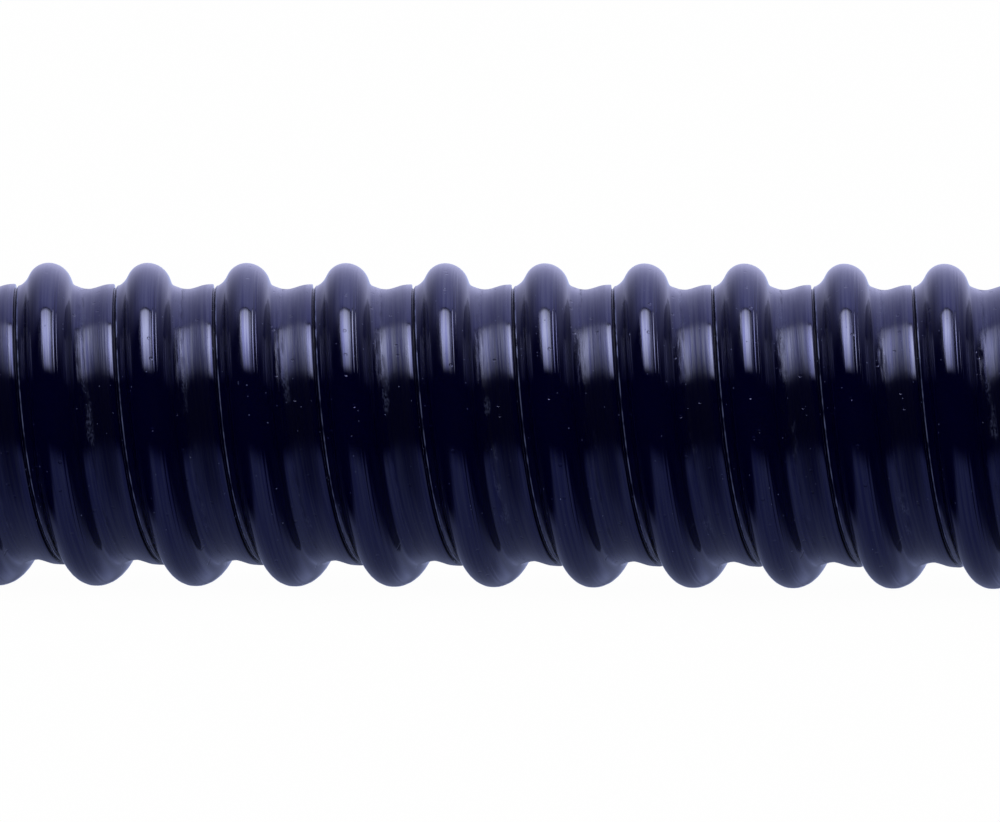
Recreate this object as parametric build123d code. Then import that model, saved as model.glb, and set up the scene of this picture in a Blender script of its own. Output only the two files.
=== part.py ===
from build123d import *
import os
from math import ceil

# Corrugated flexible conduit, trade size 1: one foot of it, lying along X on the floor (millimetres).
# Its outside is one axial profile wound along a right-handed helix: a half-round rib in four flats, a
# valley that rises gently to the lip of the lap seam, and the fall from there to the next rib's foot.

# driving dimensions
outside_diameter = 33.4
length = 304.8
pitch = 10.33
rib_height = 2.6
left_shoulder_run = 1.6
left_shoulder_drop = 0.45
left_flank_run = 1.4
right_shoulder_run = 1.75
right_shoulder_drop = 0.6
right_flank_run = 1.0
lip_rise = 0.53
lip_fall = 0.38
lip_fall_run = 0.93
wall_thickness = 0.85

# worked out from the driving dimensions
crest_radius = outside_diameter / 2
valley_radius = crest_radius - rib_height
lip_radius = valley_radius + lip_rise
groove_radius = lip_radius - lip_fall
bore_radius = valley_radius - wall_thickness


def axial_profile():
    """One pitch of the outside as (x from the crest, radius), from one lap seam to the next."""
    groove = -left_shoulder_run - left_flank_run
    lip = groove - lip_fall_run
    return [
        (lip, lip_radius),
        (groove, groove_radius),
        (-left_shoulder_run, crest_radius - left_shoulder_drop),
        (0, crest_radius),
        (right_shoulder_run, crest_radius - right_shoulder_drop),
        (right_shoulder_run + right_flank_run, valley_radius),
        (lip + pitch, lip_radius),
    ]


def one_turn():
    """The faces that the profile sweeps in one turn, each between the helices of two profile points."""
    helices = [Edge.make_helix(pitch, pitch, radius, (x, 0, 0), (1, 0, 0)) for x, radius in axial_profile()]
    return [Face.make_surface_from_curves(left, right) for left, right in zip(helices, helices[1:])]


def corrugated_skin():
    """The outside as one open skin, which runs past both ends of the conduit."""
    turns = ceil(length / pitch) + 3
    starts = [(turn - turns / 2) * pitch for turn in range(turns)]
    faces = [face.moved(Location((start, 0, 0))) for start in starts for face in one_turn()]
    return Shell(Face.sew_faces(faces)[0])


def conduit_wall():
    """A round bar cut to length by two planes, turned down to the skin, and bored through."""
    left_end = Plane(origin=(-length / 2, 0, 0), z_dir=(1, 0, 0))
    bar = Solid.make_cylinder(crest_radius + rib_height, length, left_end)
    pieces = bar.split(corrugated_skin(), keep=Keep.ALL).solids()
    inside = min(pieces, key=lambda piece: piece.bounding_box().size.Z)
    bore = Solid.make_cylinder(bore_radius, length, left_end)
    return (inside - bore).moved(Location((0, 0, crest_radius)))


wall = conduit_wall()
wall.label = "conduit_wall"
os.makedirs("parts", exist_ok=True)
export_step(wall, "parts/conduit_wall.step")
print("volume", wall.volume, "valid", wall.is_valid, "faces", len(wall.faces()))
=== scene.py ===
import math
import bpy
import numpy as np
from mathutils import Matrix, Vector


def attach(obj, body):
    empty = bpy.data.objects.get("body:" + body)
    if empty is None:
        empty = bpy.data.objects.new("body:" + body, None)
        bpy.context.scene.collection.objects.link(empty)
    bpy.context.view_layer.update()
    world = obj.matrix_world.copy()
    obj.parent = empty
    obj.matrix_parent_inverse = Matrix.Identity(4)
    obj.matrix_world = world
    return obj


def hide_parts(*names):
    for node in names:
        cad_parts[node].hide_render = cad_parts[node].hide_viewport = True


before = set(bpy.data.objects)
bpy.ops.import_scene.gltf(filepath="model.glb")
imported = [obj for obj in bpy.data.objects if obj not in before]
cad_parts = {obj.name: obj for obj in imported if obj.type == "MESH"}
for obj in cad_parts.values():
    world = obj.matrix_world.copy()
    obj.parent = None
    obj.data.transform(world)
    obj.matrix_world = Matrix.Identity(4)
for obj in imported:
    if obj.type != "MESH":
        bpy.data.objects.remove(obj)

MM = 0.001

scene = bpy.context.scene
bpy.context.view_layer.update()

# sizes of the conduit, in millimetres
length = 304.8
crest_radius = 16.7
bore_radius = 13.25
pitch = 10.33

# how the mesh is laid out: the crest's place along a pitch, steps in a turn, turns that run past the
# ends, how much of the surface pattern is spread over the bore, how close points are joined, and how
# squarely a face has to look along the conduit to be one of its ends
crest_phase = 0.5
steps_a_turn = 65
spare_turns = 5
bore_grain = 0.4
weld_distance = 1e-7
end_facing = 0.999

# one pitch of the outside, in millimetres from the rib's crest and from the axis
crest_shift = -0.1
left_round = 2.12
right_round = 2.55
left_slope = 62.0
right_slope = 72.0
foot_fillet = 1.92
foot_fillet_centre = (-3.864, 16.103)
foot_slope = 28.4
seam_gap = [(-3.42, 14.05), (-3.35, 14.07), (-3.28, 14.2)]
seam_bead = [(-3.21, 14.29), (-3.16, 14.34), (-3.09, 14.365), (-3.02, 14.375)]
right_foot = [(2.47, 14.56), (2.6, 14.41), (2.8, 14.315), (3.0, 14.24), (3.2, 14.17)]
valley = [(3.42, 14.095), (3.6, 14.045), (3.85, 14.015), (4.1, 14.0), (4.4, 14.025), (4.75, 14.105)]
valley_rise = [(5.2, 14.245), (5.55, 14.36), (5.9, 14.445), (6.25, 14.49)]
seam_lip = [(6.6, 14.51), (6.78, 14.5), (6.83, 14.43), (6.86, 14.12)]
fillet_points = 6
left_points = 8
right_points = 9


def arc(centre, radius, start, end, count):
    """Points on an arc in the axial section, from one angle to the other, in degrees."""
    angles = [math.radians(start + (end - start) * step / (count - 1)) for step in range(count)]
    return [(centre[0] + radius * math.cos(a), centre[1] + radius * math.sin(a)) for a in angles]


def axial_profile():
    """One pitch of the outside as (x from the crest, radius), from one lap seam to the next."""
    left_middle = (crest_shift, crest_radius - left_round)
    right_middle = (crest_shift, crest_radius - right_round)
    left_fillet = arc(foot_fillet_centre, foot_fillet, foot_slope - 90, left_slope - 90, fillet_points)
    left_side = arc(left_middle, left_round, 90 + left_slope, 90, left_points)
    right_side = arc(right_middle, right_round, 90, 90 - right_slope, right_points)
    rib = left_fillet + left_side + right_side[1:] + right_foot
    return np.array(seam_gap + seam_bead + rib + valley + valley_rise + seam_lip)


profile = axial_profile()


def conduit_mesh():
    """The whole wall as one closed mesh: a helical skin, a smooth bore and two square-cut ends."""
    half = length / 2
    count = len(profile)
    turns = math.ceil(length / pitch) + spare_turns
    offsets = np.concatenate([profile[:, 0] + pitch * (turn - turns // 2) for turn in range(turns)])
    radii = np.tile(profile[:, 1], turns)
    along = np.tile(profile[:, 0], turns)
    turn_number = np.repeat(np.arange(turns), count)
    verts = []
    uvs = []
    for step in range(steps_a_turn):
        part = step / steps_a_turn
        angle = 2 * math.pi * part
        shift = pitch * (crest_phase + part)
        x = offsets + shift
        cut = np.clip(x, -half, half)
        r = np.where(x == cut, radii, np.interp(cut - shift, offsets, radii))
        verts += list(zip(cut, -r * math.sin(angle), crest_radius + r * math.cos(angle)))
        uvs += list(zip(along, (turn_number + part) * 2 * math.pi * crest_radius))
    total = count * turns
    faces = []
    for step in range(steps_a_turn):
        # the last step meets the first one a turn further on
        last = step == steps_a_turn - 1
        jump = count if last else 0
        start = step * total
        other = jump if last else start + total
        for g in range(total - 1 - jump):
            faces.append((start + g, other + g, other + g + 1, start + g + 1))
    left_bore = len(verts)
    right_bore = left_bore + steps_a_turn + 1
    for end in (-half, half):
        for step in range(steps_a_turn + 1):
            angle = 2 * math.pi * step / steps_a_turn
            above_axis = bore_radius * math.cos(angle)
            verts.append((end, -bore_radius * math.sin(angle), crest_radius + above_axis))
            uvs.append((bore_grain * end / length, bore_radius * angle))
    for step in range(steps_a_turn):
        other = (step + 1) % steps_a_turn
        left, left_next = step * total, other * total
        right, right_next = left + total - 1, left_next + total - 1
        left_inner = left_bore + step
        right_inner = right_bore + step
        faces.append((left, left_inner, left_inner + 1, left_next))
        faces.append((right, right_next, right_inner + 1, right_inner))
        faces.append((left_inner, right_inner, right_inner + 1, left_inner + 1))
    return np.array(verts) * MM, faces, uvs


def welded(verts, faces, uvs):
    """The same mesh with the vertices at one place joined, and no face that has shrunk to a line."""
    keys = np.round(verts / weld_distance).astype(np.int64)
    _, first, joined = np.unique(keys, axis=0, return_index=True, return_inverse=True)
    joined = joined.ravel()
    kept = []
    corner_uvs = []
    for face in faces:
        corners = {}
        for corner in face:
            corners.setdefault(int(joined[corner]), uvs[corner])
        if len(corners) >= 3:
            kept.append(list(corners))
            corner_uvs += corners.values()
    return verts[first], kept, corner_uvs


verts, faces, corner_uvs = welded(*conduit_mesh())
mesh = bpy.data.meshes.new("corrugated_wall")
mesh.from_pydata(verts.tolist(), [], faces)
helix_uv = mesh.uv_layers.new(name="helix")
helix_uv.data.foreach_set("uv", np.array(corner_uvs, dtype=np.float32).ravel())
mesh.shade_smooth()
for polygon in mesh.polygons:
    if abs(polygon.normal.x) > end_facing:
        polygon.use_smooth = False
wall = bpy.data.objects.new("corrugated_wall", mesh)
scene.collection.objects.link(wall)
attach(wall, "root")
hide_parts("conduit_wall")


class Nodes:
    """Short ways to add and join shader nodes."""

    def __init__(self, tree):
        self.tree = tree

    def add(self, kind, **settings):
        node = self.tree.nodes.new(kind)
        for name, value in settings.items():
            setattr(node, name, value)
        return node

    def join(self, source, target):
        self.tree.links.new(source, target)

    def maths(self, operation, first, second=None, third=None):
        """The result of a maths node, from sockets or plain numbers."""
        node = self.add("ShaderNodeMath", operation=operation)
        for socket, value in zip(node.inputs, (first, second, third)):
            if value is None:
                continue
            if isinstance(value, (int, float)):
                socket.default_value = value
            else:
                self.join(value, socket)
        return node.outputs[0]

    def product(self, result, *factors):
        for factor in factors:
            result = self.maths("MULTIPLY", result, factor)
        return result

    def span(self, value, low, high, from_value=0.0, to_value=1.0):
        """Goes smoothly from one value to the other while the input goes from low to high."""
        node = self.add("ShaderNodeMapRange", interpolation_type="SMOOTHSTEP")
        self.join(value, node.inputs["Value"])
        node.inputs["From Min"].default_value = low
        node.inputs["From Max"].default_value = high
        node.inputs["To Min"].default_value = from_value
        node.inputs["To Max"].default_value = to_value
        return node.outputs["Result"]


# bands along the helix: distance from the rib's crest, half width and soft edge, in millimetres
# painted shade: in the seam's gap the plastic's reflections are blacked out
gap_shade_left_band = (-3.39, 0.07, 0.04)
# painted highlight: a pale line along the seam's bead
bead_highlight_band = (-3.13, 0.03, 0.05)
first_ridge_band = (0.93, 0.02, 0.11)
second_ridge_band = (1.25, 0.03, 0.11)
foot_band = (3.35, 0.3, 0.3)
scuff_band = (3.7, 0.2, 0.35)
valley_band = (4.9, 1.15, 0.45)
# painted shade in the seam's gap, on the lip's side
gap_shade_right_band = (6.88, 0.06, 0.04)

# round marks: spacing and size in millimetres, and the share of the places that have one; each mark
# has its full strength over an inner share of its radius
large_dust = (1.7, 0.14, 0.05)
small_dust = (0.9, 0.1, 0.06)
pit_marks = (2.3, 0.4, 0.28)
inner_share = 0.6

# grains of noise: millimetres across and along the helix, and detail
foot_grain = (0.35, 2.5, 3.0)
bead_highlight_grain = (3.0, 2.5, 3.0)
scuff_grain = (1.5, 5.0, 2.0)
scratch_grain = (0.15, 0.4, 4.0)
bloom_grain = (0.28, 14.0, 3.0)
cloud_grain = (1.2, 9.0, 2.0)
die_line_grain = (0.17, 25.0, 2.0)
brush_grain = (0.35, 2.0, 4.0)
ridge_grain = (6.0, 14.0, 2.0)

# colours and reflection tints of the plastic; the pale one is dust and scuffs and also a painted
# highlight
clean_black = (0.0003, 0.0002, 0.0115, 1.0)
pale_dust_and_bead_highlight = (0.1, 0.12, 0.24, 1.0)
dull_tint = (0.31, 0.335, 0.78, 1.0)
bright_tint = (0.57, 0.61, 1.0, 1.0)
# black reflection tint that paints shade into the seam's gap
gap_shade_tint = (0.0, 0.0, 0.0, 1.0)

# roughness of the clean rib, and what each kind of surface adds to it
clean_roughness = 0.1
valley_roughness = 0.2
foot_roughness = 0.2
pale_roughness = 0.4

# relief: one unit in millimetres, and heights in that unit, where the valley's are added to the others
relief_unit = 0.006
line_height = 1.2
valley_line_height = 1.6
brush_height = 0.8
valley_brush_height = 0.8
ridge_height = 5.0
pit_height = -5.0
dust_height = 4.0

# glossy blue-black plastic: die lines along the helix, brushed valleys, pits and dust; painted highlight
# and shade at the seam
plastic = bpy.data.materials.new("black_pvc")
plastic.use_nodes = True
mesh.materials.append(plastic)
shader = plastic.node_tree.nodes["Principled BSDF"]
shader.inputs["Specular IOR Level"].default_value = 1.0
shader.inputs["Anisotropic"].default_value = 1.0
nodes = Nodes(plastic.node_tree)
helix = nodes.add("ShaderNodeUVMap", uv_map="helix")
axes = nodes.add("ShaderNodeSeparateXYZ")
nodes.join(helix.outputs["UV"], axes.inputs[0])
tangent = nodes.add("ShaderNodeTangent", direction_type="UV_MAP", uv_map="helix")
nodes.join(tangent.outputs[0], shader.inputs["Tangent"])
across = axes.outputs["X"]
along = axes.outputs["Y"]


def streaks(width, long, detail):
    """Noise in 0..1, drawn out along the helix: its grain is width mm across and long mm along."""
    place = nodes.add("ShaderNodeCombineXYZ")
    nodes.join(nodes.maths("DIVIDE", across, width), place.inputs["X"])
    nodes.join(nodes.maths("DIVIDE", along, long), place.inputs["Y"])
    noise = nodes.add("ShaderNodeTexNoise", noise_dimensions="2D")
    noise.inputs["Scale"].default_value = 1.0
    noise.inputs["Detail"].default_value = detail
    nodes.join(place.outputs[0], noise.inputs["Vector"])
    return noise.outputs["Fac"]


def band(centre, half, soft):
    """One within half mm of a helix that runs centre mm from the crest, zero from soft mm further out."""
    off = nodes.maths("ABSOLUTE", nodes.maths("SUBTRACT", across, centre))
    return nodes.span(off, half, half + soft, 1.0, 0.0)


def dots(spacing, size, share):
    """Round marks of size mm, in a share of the cells of a random pattern with cells of spacing mm."""
    cells = nodes.add("ShaderNodeTexVoronoi", voronoi_dimensions="2D")
    cells.inputs["Scale"].default_value = 1.0 / spacing
    nodes.join(helix.outputs["UV"], cells.inputs["Vector"])
    colour = nodes.add("ShaderNodeSeparateColor")
    nodes.join(cells.outputs["Color"], colour.inputs[0])
    chosen = nodes.maths("LESS_THAN", colour.outputs["Red"], share)
    edge = size / 2 / spacing
    inside = nodes.span(cells.outputs["Distance"], inner_share * edge, edge, 1.0, 0.0)
    return nodes.product(inside, chosen)


valley_part = band(*valley_band)
scuffed_foot = nodes.product(band(*foot_band), nodes.span(streaks(*foot_grain), 0.4, 0.75))
dust = nodes.maths("MAXIMUM", dots(*large_dust), dots(*small_dust))
pits = dots(*pit_marks)

# painted highlight along the seam's bead, broken up by noise
painted_bead_highlight = nodes.product(band(*bead_highlight_band), nodes.span(streaks(*bead_highlight_grain), 0.35, 0.65, 0.1, 0.9))
scuff_patches = nodes.span(streaks(*scuff_grain), 0.58, 0.72)
scratches = nodes.span(streaks(*scratch_grain), 0.35, 0.7, 0.0, 0.3)
scuffs = nodes.product(band(*scuff_band), scuff_patches, scratches)
# pale base colour for dust and scuffs, and for the painted highlight on the seam's bead
pale = nodes.maths("MAXIMUM", dust, nodes.maths("MAXIMUM", painted_bead_highlight, scuffs))
colour = nodes.add("ShaderNodeMixRGB")
colour.inputs[1].default_value = clean_black
colour.inputs[2].default_value = pale_dust_and_bead_highlight
nodes.join(pale, colour.inputs[0])
nodes.join(colour.outputs[0], shader.inputs["Base Color"])

bloom = nodes.add("ShaderNodeMixRGB")
bloom.inputs[1].default_value = dull_tint
bloom.inputs[2].default_value = bright_tint
nodes.join(nodes.span(streaks(*bloom_grain), 0.3, 0.68), bloom.inputs[0])
# painted shade: the seam's gap reflects nothing
painted_gap_shade = nodes.maths("MAXIMUM", band(*gap_shade_left_band), band(*gap_shade_right_band))
tint = nodes.add("ShaderNodeMixRGB")
tint.inputs[2].default_value = gap_shade_tint
nodes.join(painted_gap_shade, tint.inputs[0])
nodes.join(bloom.outputs[0], tint.inputs[1])
nodes.join(tint.outputs[0], shader.inputs["Specular Tint"])

cloudy = nodes.span(streaks(*cloud_grain), 0.3, 0.7, -0.02, 0.03)
roughness = nodes.maths("ADD", cloudy, clean_roughness)
roughness = nodes.maths("MULTIPLY_ADD", valley_part, valley_roughness, roughness)
roughness = nodes.maths("MULTIPLY_ADD", scuffed_foot, foot_roughness, roughness)
roughness = nodes.maths("MULTIPLY_ADD", pale, pale_roughness, roughness)
nodes.join(roughness, shader.inputs["Roughness"])

line_strength = nodes.maths("MULTIPLY_ADD", valley_part, valley_line_height, line_height)
die_lines = nodes.product(streaks(*die_line_grain), line_strength)
brush_strength = nodes.maths("MULTIPLY_ADD", valley_part, valley_brush_height, brush_height)
brushed = nodes.product(streaks(*brush_grain), brush_strength)
ridges = nodes.maths("MAXIMUM", band(*first_ridge_band), band(*second_ridge_band))
ridges = nodes.product(ridges, nodes.span(streaks(*ridge_grain), 0.35, 0.65, 0.5, 1.0))
height = nodes.maths("ADD", brushed, die_lines)
height = nodes.maths("MULTIPLY_ADD", ridges, ridge_height, height)
height = nodes.maths("MULTIPLY_ADD", pits, pit_height, height)
height = nodes.maths("MULTIPLY_ADD", dust, dust_height, height)
bump = nodes.add("ShaderNodeBump")
bump.inputs["Strength"].default_value = 1.0
bump.inputs["Distance"].default_value = relief_unit * MM
nodes.join(height, bump.inputs["Height"])
nodes.join(bump.outputs["Normal"], shader.inputs["Normal"])

# white floor, 8 m wide, with the conduit's faint shadow; the plastic mirrors the dim floor of the
# world below instead of this one
floor_half = 4.0
floor_colour = (0.99, 0.99, 0.99, 1.0)
seen_white = 0.98
floor_corners = [(x * floor_half, y * floor_half, 0) for x, y in ((-1, -1), (1, -1), (1, 1), (-1, 1))]
floor_mesh = bpy.data.meshes.new("floor")
floor_mesh.from_pydata(floor_corners, [], [(0, 1, 2, 3)])
floor = bpy.data.objects.new("floor", floor_mesh)
scene.collection.objects.link(floor)
floor.visible_glossy = False
paper = bpy.data.materials.new("pale_floor")
paper.use_nodes = True
floor_mesh.materials.append(paper)
nodes = Nodes(paper.node_tree)
paper.node_tree.nodes.clear()
rays = nodes.add("ShaderNodeLightPath")
lit = nodes.add("ShaderNodeBsdfDiffuse")
lit.inputs["Color"].default_value = floor_colour
white = nodes.add("ShaderNodeEmission")
white.inputs["Strength"].default_value = 1.0
seen = nodes.add("ShaderNodeMixShader")
nodes.join(nodes.product(rays.outputs["Is Camera Ray"], seen_white), seen.inputs[0])
nodes.join(lit.outputs[0], seen.inputs[1])
nodes.join(white.outputs[0], seen.inputs[2])
surface = nodes.add("ShaderNodeOutputMaterial")
nodes.join(seen.outputs[0], surface.inputs["Surface"])

# world: white to the camera, even light for matt surfaces, and for reflections a bright back wall that
# fades to both sides, a dark front, and a dim floor that is darker on the left and paler far to the
# right; every range is of a direction's share to the right, to the back or upwards, from -1 to 1
back_wall_level = 1.5
wall_from_front = (-0.2, 0.25)
wall_from_below = (-0.35, -0.05)
wall_rising = (-0.1, 0.4)
wall_low_share = 0.6
dim_floor_level = 0.36
floor_to_wall = (-0.45, -0.12)
left_shadow_edge = (-0.77, -0.57)
left_shadow_slant = 0.35
floor_right_edge = (0.6, 0.96)
far_right_start = (-0.05, 0.35)
far_back_start = (0.55, 0.9)
far_right_gain = 0.9
horizon = (-0.1, 0.1)
upper_colour = (0.65, 0.66, 1.01, 1.0)
lower_colour = (0.61, 0.7, 1.16, 1.0)
world = bpy.data.worlds.new("studio")
scene.world = world
world.use_nodes = True
nodes = Nodes(world.node_tree)
world.node_tree.nodes.clear()
rays = nodes.add("ShaderNodeLightPath")
place = nodes.add("ShaderNodeTexCoord")
axes = nodes.add("ShaderNodeSeparateXYZ")
nodes.join(place.outputs["Generated"], axes.inputs[0])
to_right, to_back, to_top = axes.outputs
facing = nodes.maths("SUBTRACT", 1.0, nodes.product(to_right, to_right))
back_wall = nodes.product(
    facing,
    facing,
    back_wall_level,
    nodes.span(to_back, *wall_from_front),
    nodes.span(to_top, *wall_from_below),
    nodes.span(to_top, *wall_rising, wall_low_share, 1.0),
)
shadow_line = nodes.maths("MULTIPLY_ADD", to_back, left_shadow_slant, to_right)
far_right = nodes.product(nodes.span(to_right, *far_right_start), nodes.span(to_back, *far_back_start))
dim_floor = nodes.product(
    nodes.span(to_top, *floor_to_wall, dim_floor_level, 0.0),
    nodes.span(shadow_line, *left_shadow_edge),
    nodes.span(to_right, *floor_right_edge, 1.0, 0.0),
    nodes.maths("MULTIPLY_ADD", far_right, far_right_gain, 1.0),
)
mirrored = nodes.add("ShaderNodeBackground")
cool = nodes.add("ShaderNodeMixRGB")
cool.inputs[1].default_value = lower_colour
cool.inputs[2].default_value = upper_colour
nodes.join(nodes.span(to_top, *horizon), cool.inputs[0])
nodes.join(cool.outputs[0], mirrored.inputs["Color"])
nodes.join(nodes.maths("ADD", back_wall, dim_floor), mirrored.inputs["Strength"])
even = nodes.add("ShaderNodeBackground")
even.inputs["Strength"].default_value = 1.0
choice = nodes.add("ShaderNodeMixShader")
nodes.join(rays.outputs["Is Glossy Ray"], choice.inputs[0])
nodes.join(even.outputs[0], choice.inputs[1])
nodes.join(mirrored.outputs[0], choice.inputs[2])
surface = nodes.add("ShaderNodeOutputWorld")
nodes.join(choice.outputs[0], surface.inputs["Surface"])


def softbox(name, around, sideways, lean, high, wide, strength, fades):
    """A lamp panel 1 m away that faces the conduit and isn't seen by the camera.

    The angles are in degrees: around from the front over the top, sideways to +X, its lean in its own
    plane, and the height and width that it covers. The fades are the shares of its left, right, lower
    and upper halves over which its light falls to nothing.
    """
    reach = 1.0
    bulb_height = 0.17
    bulb_spread = 1.3
    dimmest = 0.2
    a = math.radians(around)
    s = math.radians(sideways)
    way = Vector((math.sin(s), -math.cos(s) * math.cos(a), math.cos(s) * math.sin(a)))
    tall = math.tan(math.radians(high / 2)) * reach
    broad = math.tan(math.radians(wide / 2)) * reach
    panel_mesh = bpy.data.meshes.new(name)
    panel_mesh.from_pydata([(-1, -1, 0), (1, -1, 0), (1, 1, 0), (-1, 1, 0)], [], [(0, 1, 2, 3)])
    panel = bpy.data.objects.new(name, panel_mesh)
    scene.collection.objects.link(panel)
    side = Vector((1, 0, 0)) - way * way.x
    side.normalize()
    up = way.cross(side)
    upright = Matrix((side, up, way)).transposed().to_4x4()
    turn = upright @ Matrix.Rotation(math.radians(lean), 4, "Z")
    size = Matrix.Diagonal((broad, tall, 1, 1))
    middle = Vector((0, 0, crest_radius * MM)) + way * reach
    panel.matrix_world = Matrix.Translation(middle) @ turn @ size
    panel.visible_camera = False
    panel.visible_diffuse = False
    panel.visible_shadow = False
    glow = bpy.data.materials.new(name)
    glow.use_nodes = True
    glow.node_tree.nodes.clear()
    panel_mesh.materials.append(glow)
    nodes = Nodes(glow.node_tree)
    place = nodes.add("ShaderNodeTexCoord")
    axes = nodes.add("ShaderNodeSeparateXYZ")
    nodes.join(place.outputs["Object"], axes.inputs[0])
    left, right, lower, upper = fades
    across_panel = axes.outputs["X"]
    up_panel = axes.outputs["Y"]
    from_bulb = nodes.maths("ABSOLUTE", nodes.maths("SUBTRACT", up_panel, bulb_height))
    level = nodes.product(
        nodes.span(across_panel, -1.0, left - 1.0),
        nodes.span(across_panel, 1.0 - right, 1.0, 1.0, 0.0),
        nodes.span(up_panel, -1.0, lower - 1.0),
        nodes.span(up_panel, 1.0 - upper, 1.0, 1.0, 0.0),
        nodes.span(from_bulb, 0.0, bulb_spread, 1.0, dimmest),
        strength,
    )
    light = nodes.add("ShaderNodeEmission")
    nodes.join(level, light.inputs["Strength"])
    surface = nodes.add("ShaderNodeOutputMaterial")
    nodes.join(light.outputs[0], surface.inputs["Surface"])


softbox(
    "softbox",
    around=69.75,
    sideways=1.5,
    lean=7.0,
    high=55.5,
    wide=46.0,
    strength=7.8,
    fades=(0.3, 0.85, 0.35, 0.16),
)

# camera at the photograph's angle, far away with a long lens; its lens, sensor, framed width and the
# place that it looks at are in millimetres
azimuth = math.radians(7.0)
elevation = math.radians(4.5)
roll = math.radians(-0.42)
lens = 600.0
sensor = 36.0
framed_width = 103.0
look_right = 0.365
look_above_axis = 1.475
distance = framed_width * lens / sensor * MM
look_at = Vector((look_right * MM, 0.0, (crest_radius + look_above_axis) * MM))
back = Vector(
    (
        math.sin(azimuth) * math.cos(elevation),
        -math.cos(azimuth) * math.cos(elevation),
        math.sin(elevation),
    )
)
camera_data = bpy.data.cameras.new("camera")
camera_data.lens = lens
camera_data.sensor_width = sensor
camera_data.clip_end = 50.0
camera = bpy.data.objects.new("camera", camera_data)
scene.collection.objects.link(camera)
camera.rotation_mode = "QUATERNION"
camera.location = look_at + back * distance
level_view = (-back).to_track_quat("-Z", "Y")
camera.rotation_quaternion = level_view @ Matrix.Rotation(roll, 3, "Z").to_quaternion()
scene.camera = camera
scene.view_settings.view_transform = "Standard"

print("triangles", sum(len(p.vertices) - 2 for p in mesh.polygons))
